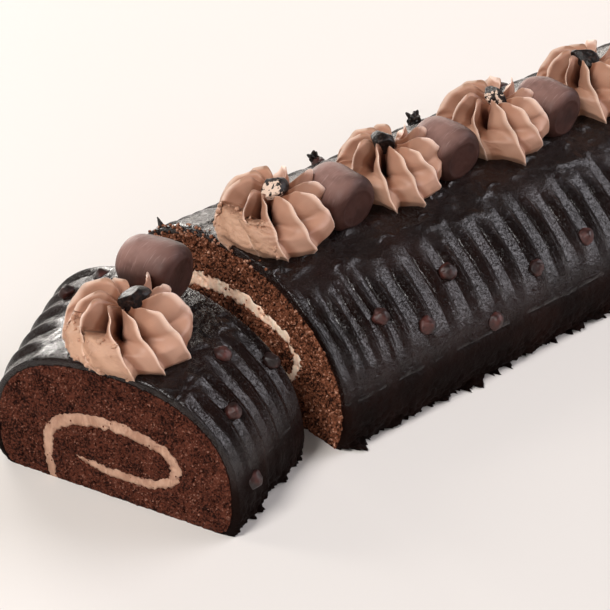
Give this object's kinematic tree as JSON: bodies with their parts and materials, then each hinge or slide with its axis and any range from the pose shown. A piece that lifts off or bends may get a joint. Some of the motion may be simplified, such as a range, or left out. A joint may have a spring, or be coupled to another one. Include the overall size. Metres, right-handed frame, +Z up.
{
  "type": "swiss roll cake",
  "caption": "Chocolate swiss roll cake with a cut slice at one end, combed ganache, piped cream rosettes, dark nibs and round chocolate candies on top.",
  "frame": {"origin": "middle of the long roll's flat underside", "axes": "+X along the roll from the cut slice towards the far cut face, +Y across the roll away from the side that shows, +Z up"},
  "size_m": [0.3161, 0.1128, 0.0662],
  "materials": {
    "sponge": "matte chocolate sponge with an open crumb",
    "cream": "soft milk chocolate cream, matt",
    "icing": "dark ganache, glossy",
    "rosette": "piped milk chocolate cream, satin",
    "candy": "milk chocolate with a faint bloom, satin",
    "nib": "dark chocolate, broken and glossy"
  },
  "bodies": {
    "root": {"roll_sponge": "sponge", "roll_cream": "cream", "roll_icing": "icing", "slice_sponge": "sponge", "slice_cream": "cream", "slice_icing": "icing", "rosette_1": "rosette", "nib_1": "nib", "rosette_2": "rosette", "nib_2": "nib", "rosette_3": "rosette", "nib_3": "nib", "rosette_4": "rosette", "nib_4": "nib", "rosette_5": "rosette", "nib_5": "nib", "rosette_6": "rosette", "nib_6": "nib", "candy_1": "candy", "candy_2": "candy", "candy_3": "candy", "candy_4": "candy", "candy_5": "candy", "candy_6": "candy"}
  },
  "joints": []
}
